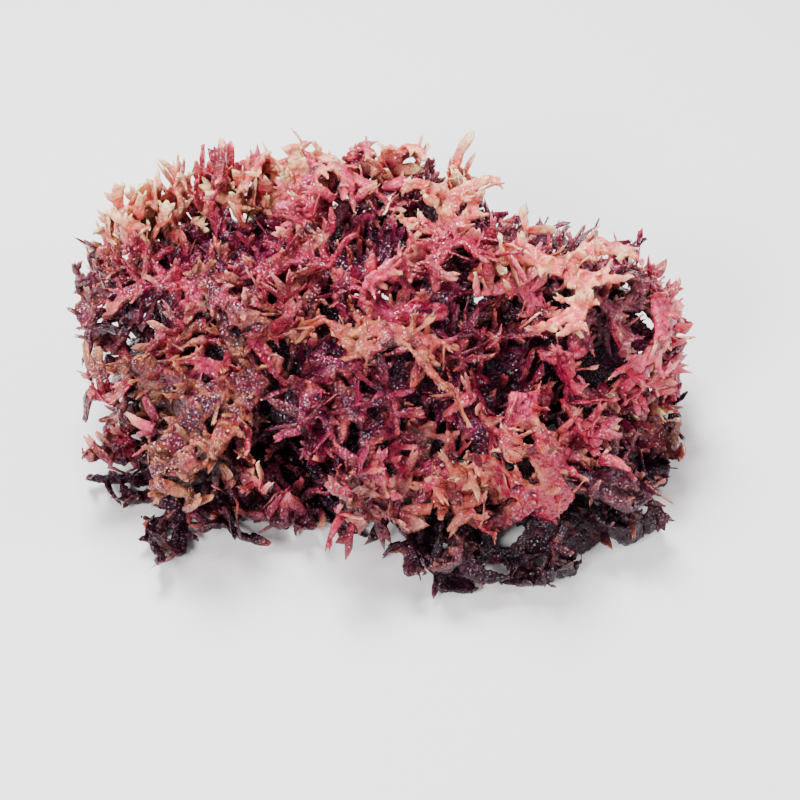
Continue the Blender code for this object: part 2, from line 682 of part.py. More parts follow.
def grow_lobe(web, face):
    """Grows a lobe out of one face of the web's rim."""
    ahead = Vector((face.normal.x, face.normal.y, 0)).normalized()
    up = Vector((0, 0, 1))
    left = up.cross(ahead)
    pairs = sorted(face.verts, key=lambda vert: round(vert.co.dot(left) / MM, 4))
    right_bottom, right_top = sorted(pairs[:2], key=lambda vert: vert.co.z)
    left_bottom, left_top = sorted(pairs[2:], key=lambda vert: vert.co.z)
    base = [left_top, right_top, right_bottom, left_bottom]
    span = (left_top.co - right_top.co).length / 2
    real = [vert.co.copy() for vert in base]
    ring = Ring(face.calc_center_median(), ahead, up, span, WEB_THICK / 2, real)
    corners = list(face.verts)
    web.bm.faces.remove(face)
    half_width = web.draw.uniform(*LOBE_HALF_WIDTH)
    length = web.draw.uniform(*LOBE_LENGTH)
    sway = web.draw.uniform(-LOBE_SWAY, LOBE_SWAY)
    lobe = web.grow(base, ring, length, half_width, sway, LOBE_LIFT, True, "sheet")
    if lobe is None:
        web.bm.faces.new(corners)
        return
    for number in range(2, len(lobe["stations"]) - 1, 2):
        side = web.draw.choice(("left", "right"))
        web.fork(lobe, number, side, LOBE_FORK, half_width * 0.7, FORK_ANGLE, 0, LOBE_LIFT, True)


def stud(web, face):
    """A spine in the middle of one face of a web, on a base of its own."""
    bmesh.ops.inset_individual(web.bm, faces=[face], thickness=STUD_LEDGE)
    lean = Vector((web.draw.uniform(-0.5, 0.5), web.draw.uniform(-0.6, 0.3), 0))
    direction = (face.normal + lean).normalized()
    middle, height = face.calc_center_median(), web.draw.uniform(*SPINE_HEIGHT)
    base = [vert.co + face.normal * GAP for vert in face.verts]
    spine = Solid([*base, middle + direction * (height + GAP)], STUD_FACES)
    if in_box([middle + direction * height]) and web.clear(spine, web.own):
        web.own.append(spine)
        peak = bmesh.ops.poke(web.bm, faces=[face])["verts"][0]
        peak.co = middle + direction * height
        web.peaks.append(peak)


def seat(heap, point, up, half_thick):
    """The lowest place for a root on what lies there."""
    return heap.surface_above(point, up) + up * (GAP + half_thick + SEAT_ROOM)


def plan_from(frond, root, tip, half_width, half_thick, free, sway, lift):
    """The longest main blade from one root, which is lifted until the whole blade has room."""
    rise = frond.facing or outward(root)
    spot = seat(frond.heap, root, rise, half_thick)
    heading, length = (tip - spot).normalized(), (tip - spot).length
    face_up = rise
    if free:
        across = heading.cross(Vector((0, -1, 0.5))).normalized()
        face_up = across.cross(heading).normalized()
        lift = 0
    ahead = (heading - face_up * heading.dot(face_up)).normalized()
    ahead = Matrix.Rotation(math.radians(-sway / 2), 3, face_up) @ ahead
    best = ([], [], False)
    for _ in range(LIFT_TRIES):
        ring = Ring(spot, ahead, face_up, half_width * width_share(0), half_thick)
        start = Solid(ring.corners(GAP, -GAP) + ring.corners(GAP, SHORT_STEP), BOX_FACES)
        if not frond.heap.meets(start):
            found = frond.plan_blade(ring, length, half_width, sway, lift, not free, None, tip)
            best = max(best, found, key=lambda plan: len(plan[0]))
            if found[2]:
                break
        spot = spot + rise * LIFT_STEP
    return best


def grow_frond(heap, seed, root, tip, width, forks=5, fork_length=0.5, free=False, facing=None,
               lowest=0.0, sway=0.0, lift=TIP_LIFT, angle=FORK_ANGLE):
    """A frond's main blade from its root towards its tip, with forks on alternate sides."""
    root, tip = Vector(root) * MM, Vector(tip) * MM
    facing = facing and Vector(facing).normalized()
    frond = Frond(heap, seed, facing, lowest * MM)
    half_width, half_thick = width * MM / 2, HALF_THICK
    best = ([], [], False)
    for shift in ROOT_SHIFTS:
        place = root + Vector(shift) * MM
        found = plan_from(frond, place, tip, half_width, half_thick, free, sway, lift)
        best = max(best, found, key=lambda plan: len(plan[0]))
        if found[2]:
            break
    path, boxes = best[:2]
    if len(path) < 3:
        return None
    ring = path[0]
    verts = [frond.bm.verts.new(corner) for corner in ring.corners()]
    axis = frond.build_blade(verts, path, boxes)
    length = LONG_STEP * BRANCH_REACH * (len(path) - 1)
    if not frond.spike(verts, -ring.ahead, ROOT_POINT, (0, 0)):
        frond.bm.faces.new(verts)
    frond.branch_out(axis, forks, length * fork_length, half_width, angle, lift, not free)
    frond.dress()
    return frond


def make_frond(heap, seed, name, material, *shape, **special):
    """One frond, grown again from another draw for as long as it crosses itself."""
    for again in range(REGROWTHS):
        frond = grow_frond(heap, seed + again * REGROWTH_STEP, *shape, **special)
        if frond and frond.flatten_crossings():
            return frond.finish(name, material)
    return None


def rim_plans():
    """Fronds that hang round the dome's rim, each between its neighbours."""
    for number in range(RIM_FRONDS):
        bearing = 2 * math.pi * (number + 0.5) / RIM_FRONDS
        swing = bearing + (0.35 if number % 2 else -0.3)
        root = (46 * math.cos(bearing), 9 + 24 * math.sin(bearing), 30)
        tip = (70 * math.cos(swing), 9 + 44 * math.sin(swing), 14)
        colour = RIM_COLOURS[number % len(RIM_COLOURS)]
        yield f"frond_rim_{number + 1:02d}", colour, root, tip, BODY_WIDTH, BODY


def top_plans():
    """Fronds that crawl over the dome's top, spread by the golden angle."""
    for number in range(TOP_FRONDS):
        share = math.sqrt((number + 0.6) / TOP_FRONDS)
        bearing = number * GOLDEN_ANGLE
        root = (40 * share * math.cos(bearing), 9 + 22 * share * math.sin(bearing), 40)
        swing = bearing + (1.0 if number % 2 else -0.9)
        tip = (root[0] + 30 * math.cos(swing), root[1] + 24 * math.sin(swing), 38)
        colour = TOP_COLOURS[number % len(TOP_COLOURS)]
        yield f"frond_top_{number + 1:02d}", colour, root, tip, BODY_WIDTH, BODY


def centre_clump():
    """Brings the middle of the clump's box over the origin."""
    meshes = [obj.data for obj in bpy.context.scene.collection.objects]
    for axis in range(2):
        values = [vert.co[axis] for mesh in meshes for vert in mesh.vertices]
        shift = Vector((0, 0, 0))
        shift[axis] = -(min(values) + max(values)) / 2
        for mesh in meshes:
            mesh.transform(Matrix.Translation(shift))


def clear_scene():
    for obj in list(bpy.data.objects):
        bpy.data.objects.remove(obj, do_unlink=True)


def main():
    clear_scene()
    paints = {name: make_material(name, *look) for name, look in COLOURS.items()}
    heap = Heap()
    for seed, (name, paint, *shape) in enumerate(WEBS[:3], WEB_SEED):
        make_web(heap, seed, name, paints[paint], *shape)
    for seed, (name, paint, root, tip, width, special) in enumerate(LOW_FRONDS, LOW_SEED):
        make_frond(heap, seed, name, paints[paint], root, tip, width, **special)
    name, paint, *shape = WEBS[3]
    make_web(heap, WEB_SEED + 3, name, paints[paint], *shape)
    plans = [*rim_plans(), *top_plans(), *SHOWN_FRONDS]
    for seed, (name, paint, root, tip, width, special) in enumerate(plans, TOP_SEED):
        make_frond(heap, seed, name, paints[paint], root, tip, width, **{"lowest": HANG, **special})
    centre_clump()


main()
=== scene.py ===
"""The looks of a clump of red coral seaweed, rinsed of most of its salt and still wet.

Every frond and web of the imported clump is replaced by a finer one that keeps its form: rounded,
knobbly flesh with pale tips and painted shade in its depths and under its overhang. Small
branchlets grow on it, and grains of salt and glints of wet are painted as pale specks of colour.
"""

import json
import math
import random

import bmesh
import bpy
from mathutils import Matrix, Vector
from mathutils.bvhtree import BVHTree
from mathutils.kdtree import KDTree


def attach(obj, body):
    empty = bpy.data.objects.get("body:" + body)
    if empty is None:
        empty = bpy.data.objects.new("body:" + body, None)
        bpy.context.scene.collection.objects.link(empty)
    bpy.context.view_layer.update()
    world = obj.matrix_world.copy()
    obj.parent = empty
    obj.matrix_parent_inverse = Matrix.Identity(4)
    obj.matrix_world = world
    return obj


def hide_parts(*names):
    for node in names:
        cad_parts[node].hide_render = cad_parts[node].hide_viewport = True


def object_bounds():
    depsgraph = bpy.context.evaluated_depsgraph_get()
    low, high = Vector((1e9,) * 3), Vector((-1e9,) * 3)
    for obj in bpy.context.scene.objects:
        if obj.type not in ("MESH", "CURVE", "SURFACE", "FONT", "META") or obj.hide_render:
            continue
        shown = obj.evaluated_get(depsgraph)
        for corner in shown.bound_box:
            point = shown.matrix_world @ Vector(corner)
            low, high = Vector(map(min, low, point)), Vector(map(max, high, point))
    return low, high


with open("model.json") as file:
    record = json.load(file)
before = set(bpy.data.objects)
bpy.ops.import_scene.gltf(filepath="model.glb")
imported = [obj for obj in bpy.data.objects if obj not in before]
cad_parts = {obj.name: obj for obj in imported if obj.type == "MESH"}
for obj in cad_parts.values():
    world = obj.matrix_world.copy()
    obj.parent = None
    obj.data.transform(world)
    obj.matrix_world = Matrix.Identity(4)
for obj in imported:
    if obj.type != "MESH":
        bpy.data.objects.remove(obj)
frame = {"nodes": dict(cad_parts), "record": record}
cad_box = [list(corner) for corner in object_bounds()]
bpy.ops.object.select_all(action="DESELECT")


# The table. A plain, pale, matt top that the clump lies on; it isn't part of the object.

def linear(hex_colour):
    """An sRGB hex colour as the four linear numbers of a socket."""
    shares = [int(hex_colour[i:i + 2], 16) / 255 for i in (1, 3, 5)]
    lit = [s / 12.92 if s <= 0.04045 else ((s + 0.055) / 1.055) ** 2.4 for s in shares]
    return (*lit, 1.0)


def node(tree, kind, links=(), **settings):
    """Adds one node. A setting named in_X goes to its input X; links are (socket, input) pairs."""
    made = tree.nodes.new(kind)
    for key, value in settings.items():
        if key.startswith("in_"):
            name = key[3:].replace("_", " ")
            made.inputs[int(name) if name.isdigit() else name].default_value = value
        else:
            setattr(made, key, value)
    for source, target in links:
        tree.links.new(source, made.inputs[target])
    return made


TABLE_WIDTH = 6
TABLE_DROP = 0.0002
bpy.ops.mesh.primitive_plane_add(size=TABLE_WIDTH, location=(0, 0, -TABLE_DROP))
table_top = bpy.context.object
table_top.name = "table_top"
# Painted board: matt white, with no pattern that would draw the eye.
painted_board = bpy.data.materials.new("painted_board")
painted_board.use_nodes = True
board = painted_board.node_tree.nodes["Principled BSDF"]
board.inputs["Base Color"].default_value = linear("#f0f1ea")
board.inputs["Roughness"].default_value = 0.75
table_top.data.materials.append(painted_board)
table_top.select_set(False)


# The camera and the lights. The camera looks down on the front at 45 degrees. Soft lights from
# above and behind, from the front left and from the right, and a pale surround, stand for a photo
# tent.

MM = 0.001
CAMERA_TARGET = Vector((4.3, -10.7, 25)) * MM
CAMERA_TILT = math.radians(45)
CAMERA_DISTANCE = 453
CAMERA_BACK = Vector((0, -math.cos(CAMERA_TILT), math.sin(CAMERA_TILT)))

camera = bpy.data.objects.new("camera", bpy.data.cameras.new("camera"))
bpy.context.scene.collection.objects.link(camera)
bpy.context.scene.camera = camera
camera.data.lens = 85
camera.data.clip_start = 0.01
camera.location = CAMERA_TARGET + CAMERA_BACK * CAMERA_DISTANCE * MM
camera.rotation_mode = "QUATERNION"
camera.rotation_quaternion = (-CAMERA_BACK).to_track_quat("-Z", "Y")

for light_name, place, size, watts in (
    ("top_softbox", (-0.12, 0.25, 0.70), 0.28, 14.5),
    ("front_softbox", (-0.35, -0.60, 0.55), 0.26, 11.0),
    ("side_softbox", (0.60, -0.15, 0.40), 0.22, 4.0),
):
    bpy.ops.object.light_add(type="AREA", location=place)
    lamp = bpy.context.object
    lamp.name = light_name
    lamp.data.size = size
    lamp.data.energy = watts
    lamp.data.color = linear("#fbf5ff")[:3]
    lamp.rotation_mode = "QUATERNION"
    lamp.rotation_quaternion = (CAMERA_TARGET - lamp.location).to_track_quat("-Z", "Y")
    lamp.select_set(False)

surround = bpy.data.worlds.new("surround")
bpy.context.scene.world = surround
surround.use_nodes = True
surround.node_tree.nodes["Background"].inputs["Color"].default_value = linear("#f2eefa")
surround.node_tree.nodes["Background"].inputs["Strength"].default_value = 0.36


# The flesh. Red algae are a firm jelly: each frond's colour wanders between two or three hues and
# its tips bleach to cream. Painted shade turns what lies deep in the heap, or low under the
# overhang, a dark purple. The surface is wet and finely knobbly, so it glitters rather than shines,
# and pale specks painted in its colour stand for grains of salt and for glints of wet.

def flesh(name, hues, rim, tip, painted_shade_colour, roughness, glow):
    """Wet flesh: three hues in patches, the colours of rims, tips and painted shade, and its gloss.
    """
    material = bpy.data.materials.new(name)
    material.use_nodes = True
    tree = material.node_tree
    shader = tree.nodes["Principled BSDF"]
    place = node(tree, "ShaderNodeTexCoord").outputs["Object"]
    # Patches about 9 mm across, streaked with finer ones about 2 mm across.
    patches = node(tree, "ShaderNodeTexNoise", [(place, "Vector")], in_Scale=110.0, in_Detail=2.0)
    streaks = node(tree, "ShaderNodeTexNoise", [(place, "Vector")], in_Scale=520.0, in_Detail=3.0)
    blend = node(
        tree, "ShaderNodeMath", [(patches.outputs["Fac"], 0), (streaks.outputs["Fac"], 1)],
        operation="ADD",
    )
    spread = node(
        tree, "ShaderNodeMapRange", [(blend.outputs[0], "Value")],
        in_From_Min=0.72, in_From_Max=1.28,
    )
    tint = node(tree, "ShaderNodeAttribute", attribute_name="tint")
    mixed = node(
        tree, "ShaderNodeMath", [(spread.outputs[0], 0), (tint.outputs["Fac"], 1)], operation="ADD",
    )
    ramp = node(tree, "ShaderNodeValToRGB", [(mixed.outputs[0], "Fac")])
    ramp.color_ramp.elements[0].color = linear(hues[0])
    ramp.color_ramp.elements[1].color = linear(hues[2])
    middle = ramp.color_ramp.elements.new(0.5)
    middle.color = linear(hues[1])
    # Thin rims are paler and more orange, partly their own colour and partly a painted glow of light
    # through them; tips are bleached; painted shade darkens whatever lies deep or low in the heap.
    thin = node(tree, "ShaderNodeAttribute", attribute_name="rim")
    margin = node(
        tree, "ShaderNodeMath", [(thin.outputs["Fac"], 0), (streaks.outputs["Fac"], 1)],
        operation="MULTIPLY",
    )
    rimmed = node(
        tree, "ShaderNodeMix", [(margin.outputs[0], 0), (ramp.outputs["Color"], 6)],
        data_type="RGBA", in_7=linear(rim),
    )
    end = node(tree, "ShaderNodeAttribute", attribute_name="tip")
    paled = node(
        tree, "ShaderNodeMath", [(end.outputs["Fac"], 0), (streaks.outputs["Fac"], 1)],
        operation="MULTIPLY",
    )
    strength = node(
        tree, "ShaderNodeMath", [(paled.outputs[0], 0)], operation="MULTIPLY", in_1=1.75,
    )
    capped = node(
        tree, "ShaderNodeMath", [(strength.outputs[0], 0)], operation="MINIMUM", in_1=1.0,
    )
    tipped = node(
        tree, "ShaderNodeMix", [(capped.outputs[0], 0), (rimmed.outputs[2], 6)],
        data_type="RGBA", in_7=linear(tip),
    )
    # Painted shade: a dark purple laid over what lies deep in the heap or low under the overhang.
    painted_shade_node = node(tree, "ShaderNodeAttribute", attribute_name="depth")
    colour = node(
        tree, "ShaderNodeMix", [(painted_shade_node.outputs["Fac"], 0), (tipped.outputs[2], 6)],
        data_type="RGBA", in_7=linear(painted_shade_colour),
    )
    # Grains of sea salt and painted glints on beads of wet, 0.3 to 0.5 mm wide, strewn in patches.
    specks = node(tree, "ShaderNodeTexNoise", [(place, "Vector")], in_Scale=2300.0, in_Detail=1.0)
    strewn = node(tree, "ShaderNodeTexNoise", [(place, "Vector")], in_Scale=260.0, in_Detail=1.0)
    salt_and_glint_specks = node(
        tree, "ShaderNodeMapRange", [(specks.outputs["Fac"], "Value")],
        in_From_Min=0.62, in_From_Max=0.70,
    )
    patch = node(
        tree, "ShaderNodeMapRange", [(strewn.outputs["Fac"], "Value")],
        in_From_Min=0.45, in_From_Max=0.62,
    )
    grain = node(
        tree, "ShaderNodeMath", [(salt_and_glint_specks.outputs[0], 0), (patch.outputs[0], 1)],
        operation="MULTIPLY",
    )
    salt_and_glint_share = node(tree, "ShaderNodeMath", [(grain.outputs[0], 0)], operation="MULTIPLY", in_1=0.42)
    salt_and_glint_colour = node(
        tree, "ShaderNodeMix", [(salt_and_glint_share.outputs[0], 0), (colour.outputs[2], 6)],
        data_type="RGBA", in_7=linear("#eadcf0"),
    )
    tree.links.new(salt_and_glint_colour.outputs[2], shader.inputs["Base Color"])
    # Wrinkles about 2 mm apart and warts about 1 mm apart, coarser than real so that they show. The
    # grains of salt and the painted glints stand up from them.
    wrinkles = node(
        tree, "ShaderNodeTexNoise", [(place, "Vector")], noise_type="RIDGED_MULTIFRACTAL",
        in_Scale=420.0, in_Detail=3.0, in_Distortion=0.6,
    )
    warts = node(tree, "ShaderNodeTexVoronoi", [(place, "Vector")], in_Scale=1050.0)
    raised = node(
        tree, "ShaderNodeMath", [(warts.outputs["Distance"], 0), (grain.outputs[0], 1)],
        operation="SUBTRACT",
    )
    folds = node(
        tree, "ShaderNodeBump", [(wrinkles.outputs["Fac"], "Height")],
        in_Strength=0.6, in_Distance=0.0006,
    )
    bump = node(
        tree, "ShaderNodeBump",
        [(raised.outputs[0], "Height"), (folds.outputs["Normal"], "Normal")],
        in_Strength=1.0, in_Distance=0.0004, invert=True,
    )
    tree.links.new(bump.outputs["Normal"], shader.inputs["Normal"])
    tree.links.new(bump.outputs["Normal"], shader.inputs["Coat Normal"])
    wet = node(
        tree, "ShaderNodeMapRange", [(streaks.outputs["Fac"], "Value")],
        in_From_Min=0.35, in_From_Max=0.65, in_To_Min=roughness, in_To_Max=roughness + 0.22,
    )
    tree.links.new(wet.outputs[0], shader.inputs["Roughness"])
    # Firm, watery jelly: red light goes about 1.4 mm into it, green and blue much less.
    shader.inputs["Subsurface Weight"].default_value = glow
    shader.inputs["Subsurface Radius"].default_value = (1.0, 0.28, 0.20)
    shader.inputs["Subsurface Scale"].default_value = 0.0014
    shader.inputs["IOR"].default_value = 1.38
    # The depths are wet too, but little light reaches them to be thrown back, so the coat thins
    # where the painted shade lies.
    sheen = node(
        tree, "ShaderNodeMapRange", [(painted_shade_node.outputs["Fac"], "Value")], in_To_Min=0.75, in_To_Max=0.1,
    )
    tree.links.new(sheen.outputs[0], shader.inputs["Coat Weight"])
    shader.inputs["Specular IOR Level"].default_value = 0.25
    shader.inputs["Coat Roughness"].default_value = 0.06
    return material


# Each kind's last colour is the dark purple that its painted shade turns to.
FLESH = {
    "crimson": flesh(
        "crimson_flesh", ("#320216", "#6c0628", "#a01a44"),
        rim="#b8382c", tip="#e08c70", painted_shade_colour="#160812", roughness=0.16, glow=0.12,
    ),
    "rose": flesh(
        "rose_flesh", ("#660424", "#a41440", "#d0486c"),
        rim="#e06040", tip="#fcb888", painted_shade_colour="#260a1a", roughness=0.16, glow=0.22,
    ),
    "peach": flesh(
        "peach_flesh", ("#900c2e", "#d84c54", "#fc9c80"),
        rim="#fc9c58", tip="#ffe8a4", painted_shade_colour="#3c0c1e", roughness=0.18, glow=0.32,
    ),
    "tan": flesh(
        "tan_flesh", ("#3c0418", "#70182a", "#a84038"),
        rim="#c06c34", tip="#e0a060", painted_shade_colour="#1a0812", roughness=0.20, glow=0.16,
    ),
    "mauve": flesh(
        "mauve_flesh", ("#240214", "#480c28", "#6c243c"),
        rim="#7c302c", tip="#b0644c", painted_shade_colour="#120810", roughness=0.24, glow=0.10,
    ),
    "plum": flesh(
        "plum_flesh", ("#220216", "#52042a", "#861640"),
        rim="#a02c2c", tip="#cc5848", painted_shade_colour="#120812", roughness=0.14, glow=0.09,
    ),
}


# The fronds and the webs. Each was one flat, forking blade with teeth; the finer piece is swollen a
# little, rounded, and roughened with low knobs, as flesh that has taken up water.

def cad_points(objects):
    """All corners and faces of some objects, as one list each."""
    points, faces = [], []
    for item in objects:
        first = len(points)
        points += [vert.co.copy() for vert in item.data.vertices]
        faces += [[first + index for index in face.vertices] for face in item.data.polygons]
    return points, faces


SLOTS = {part["node"]: part["material_slot"] for part in frame["record"]["subparts"]}
cad_nodes = [frame["nodes"][name] for name in sorted(frame["nodes"])]
clump_points, clump_faces = cad_points(cad_nodes)
clump_tree = BVHTree.FromPolygons(clump_points, clump_faces)

# How shut in each corner lies, which sets the painted shade: the share of rays to the open sky that
# the clump stops within a reach.
SKY_RAYS = 20
SKY_LOWEST = 0.15
GOLDEN_TURN = 2.4
RAY_START = 0.4
RAY_REACH = 25
SKY = []
for step in range(SKY_RAYS):
    height = SKY_LOWEST + (1 - SKY_LOWEST) * (step + 0.5) / SKY_RAYS
    ring, turn = math.sqrt(1 - height * height), step * GOLDEN_TURN
    SKY.append(Vector((ring * math.cos(turn), ring * math.sin(turn), height)))
shade_at = KDTree(len(clump_points))
shades = []
for index, point in enumerate(clump_points):
    stopped = sum(
        clump_tree.ray_cast(point + way * RAY_START * MM, way, RAY_REACH * MM)[0] is not None
        for way in SKY
    )
    shades.append(stopped / len(SKY))
    shade_at.insert(point, index)
shade_at.balance()


# Painted shade darkens the flesh from where this share of the sky is hidden, and below this height
# in mm, under the overhang. The nodes of the lower lumps get at least a set amount of painted shade.
SHADE_START = 0.45
OVERHANG = 24
OVERHANG_GLOOM = 1.3
DARKEST = 0.9
LOW_LUMP_SHADE = 0.5


def painted_shade_amount(point):
    """How much painted shade a point gets: 0 in the open, DARKEST in the depths and under the
    overhang.
    """
    around = shade_at.find_n(point, 3)
    shade = sum(shades[index] for _, index, _ in around) / len(around)
    low = max(0.0, 1 - point.z / (OVERHANG * MM))
    hidden = max(0.0, (shade - SHADE_START) / SHADE_START)
    return min(DARKEST, hidden + OVERHANG_GLOOM * low)


def painted_shade_of(name, point):
    """How much painted shade a point of one node gets: the lower lumps get painted shade all over.
    """
    return max(painted_shade_amount(point), LOW_LUMP_SHADE if name.startswith(("web_lower", "frond_low")) else 0.0)


# Fronds that are redder (below 0) or yellower (above 0) than their kind, and how pale their tips
# are. PLAIN is for all the others.
TINTS = {
    "antler": (-0.10, 0.9), "fan_front_inner": (-0.25, 0.5), "fan_front_left": (-0.25, 0.5),
    "frond_centre_flap": (0.15, 0.8), "frond_centre_hook": (0.25, 0.5),
    "frond_front_star": (-0.5, 0.45), "frond_left_top": (0.2, 1.0),
    "frond_left_top_prongs": (0.2, 1.0), "frond_right_arm": (-0.1, 0.5),
    "frond_right_cluster": (0.3, 1.0), "frond_right_cross": (0.25, 0.9),
    "frond_right_edge": (0.25, 0.9), "frond_right_strand": (0.25, 0.9), "frond_rim_07": (0.35, 0.9),
    "frond_salmon": (-0.05, 1.0), "frond_top_06": (0.2, 0.9), "frond_top_09": (0.4, 0.9),
}
PLAIN = (0.0, 0.9)
# The star is yellow round its middle only, and its arms are red.
STAR_MIDDLE = Vector((27, -37, 29)) * MM
STAR_REACH = 13 * MM


def own_look(name, point):
    """The shift in hue, and the paleness of tips, of one node's flesh at a point."""
    tint, paleness = TINTS.get(name, PLAIN)
    if name == "frond_front_star":
        redness = min(1.0, (point - STAR_MIDDLE).length / STAR_REACH) ** 2
        return tint - 0.8 * redness, paleness * (1.5 - 1.3 * redness)
    return tint, paleness


def copy_of(name):
    """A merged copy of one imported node, as a new object."""
    piece = bpy.data.objects.new(name + "_flesh", frame["nodes"][name].data.copy())
    bpy.context.scene.collection.objects.link(piece)
    piece.data.materials.clear()
    bpy.context.view_layer.objects.active = piece
    piece.select_set(True)
    bpy.ops.object.mode_set(mode="EDIT")
    bpy.ops.mesh.select_all(action="SELECT")
    bpy.ops.mesh.remove_doubles(threshold=0.00001)
    bpy.ops.object.mode_set(mode="OBJECT")
    return piece


NARROW_CONE = 3.4
SHARP_FOLD = 0.9
TIP_REACH = 4.5 * MM
RIM_REACH = 1.6 * MM


def sharp_ends(mesh):
    """The points of a frond's teeth and tips: corners whose faces close in to a narrow cone."""
    open_angles = [0.0] * len(mesh.vertices)
    for face in mesh.polygons:
        corners = [mesh.vertices[index].co for index in face.vertices]
        for place, index in enumerate(face.vertices):
            ahead = corners[(place + 1) % len(corners)] - corners[place]
            behind = corners[place - 1] - corners[place]
            open_angles[index] += ahead.angle(behind, 0.0)
    return [vert.co.copy() for vert in mesh.vertices if open_angles[vert.index] < NARROW_CONE]


def thin_edges(mesh):
    """Points along a blade's margin: the middles of the edges where its two faces meet sharply."""
    work = bmesh.new()
    work.from_mesh(mesh)
    margin = [
        (edge.verts[0].co + edge.verts[1].co) / 2 for edge in work.edges
        if len(edge.link_faces) == 2 and edge.calc_face_angle() > SHARP_FOLD
    ]
    work.free()
    return margin


def nearness(points, reach):
    """A function that gives 1 at any of some points and falls to 0 at a reach from them."""
    tree = KDTree(len(points))
    for index, point in enumerate(points):
        tree.insert(point, index)
    tree.balance()
    return lambda place: max(0.0, 1 - tree.find(place)[2] / reach) if points else 0.0


def mark(piece, name, ends, margin):
    """Stores on each point its tint, how near a tip and a rim are, and how much painted shade it
    gets.
    """
    at_tip, at_rim = nearness(ends, TIP_REACH), nearness(margin, RIM_REACH)
    tips, rims, painted_shades, tints = [], [], [], []
    for vert in piece.data.vertices:
        tint, paleness = own_look(name, vert.co)
        tips.append(min(1.0, paleness * at_tip(vert.co) ** 1.3))
        rims.append(min(1.0, 1.1 * paleness) * at_rim(vert.co))
        painted_shades.append(painted_shade_of(name, vert.co))
        tints.append(tint)
    for kind, values in (("tip", tips), ("rim", rims), ("depth", painted_shades), ("tint", tints)):
        layer = piece.data.attributes.new(kind, "FLOAT", "POINT")
        layer.data.foreach_set("value", values)


def apply_all(piece):
    """Applies every modifier of the active piece, in order."""
    for modifier in [item.name for item in piece.modifiers]:
        bpy.ops.object.modifier_apply(modifier=modifier)


knobs = bpy.data.textures.new("knobs", "CLOUDS")
knobs.noise_scale = 1.9 * MM
knobs.noise_depth = 2
papillae = bpy.data.textures.new("papillae", "VORONOI")
papillae.noise_scale = 0.9 * MM


# Each texture's height, and the level of it that leaves the surface where it is.
ROUGHNESS = (("knobs", knobs, 1.1 * MM, 0.38), ("papillae", papillae, -0.45 * MM, 0.4))
FROND_GRAIN = 0.53 * MM
WEB_GRAIN = 0.7 * MM


def soften(piece, grain):
    """Rounds a blade off and roughens it: voxels of one grain, then low knobs and papillae."""
    fuse = piece.modifiers.new("fuse", "REMESH")
    fuse.mode = "VOXEL"
    fuse.voxel_size = grain
    fuse.use_smooth_shade = True
    round_off = piece.modifiers.new("round_off", "SMOOTH")
    round_off.factor = 0.5
    round_off.iterations = 2
    for name, texture, height, level in ROUGHNESS:
        lumps = piece.modifiers.new(name, "DISPLACE")
        lumps.texture = texture
        lumps.texture_coords = "LOCAL"
        lumps.strength = height
        lumps.mid_level = level
    apply_all(piece)


flesh_pieces = {}
for cad_node in cad_nodes:
    name = cad_node.name
    piece = copy_of(name)
    ends, margin = sharp_ends(piece.data), thin_edges(piece.data)
    soften(piece, WEB_GRAIN if name.startswith("web") else FROND_GRAIN)
    for vert in piece.data.vertices:
        vert.co.z = max(vert.co.z, 0.0)
    mark(piece, name, ends, margin)
    piece.data.materials.append(FLESH[SLOTS[name]])
    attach(piece, "root")
    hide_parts(name)
    piece.select_set(False)
    flesh_pieces[name] = piece


# The branchlets. Every frond and web bears flat side branches 3 to 14 mm long, toothed and with
# pointed or blunt ends. Some are modelled, each a little different, and copies of them are planted
# wherever the clump lies open to the sky.

BLADE_WIDTHS = (1.2, 1.1, 0.9, 0.64)
BLADE_FLATNESS = 0.34
BLADE_JOINT = 1.6
BLADE_THINNING = 0.95
BLUNT_SHARE = 0.5
TOOTH_COUNTS = (2, 3, 4, 5)
TOOTH_OUT = 0.9
CRUMPLE = 0.2 * MM
PALE_FROM = 0.35
THIN_SHARE = 0.45


def draw_out(middle, move, stretch, turn=0.0):
    """Extrudes what is selected by some millimetres, then scales and twists the new end."""
    middle = middle + Vector(move) * MM
    bpy.ops.mesh.extrude_region_move(TRANSFORM_OT_translate={"value": Vector(move) * MM})
    bpy.ops.transform.resize(value=stretch, center_override=middle)
    bpy.ops.transform.rotate(value=turn, orient_axis="Z", center_override=middle)
    return middle


def draw_to_point(move):
    """Extrudes what is selected by some millimetres and gathers it into one point."""
    bpy.ops.mesh.extrude_region_move(TRANSFORM_OT_translate={"value": Vector(move) * MM})
    bpy.ops.mesh.merge(type="CENTER")


def edge_face(mesh, side, low, high):
    """The face of a blade's narrow edge on one side, between two heights, if it is still whole."""
    edges = [
        face for face in mesh.polygons
        if low < face.center.z < high and face.normal.x * side > 0.6 and len(face.vertices) == 4
    ]
    return max(edges, key=lambda face: face.center.x * side, default=None)


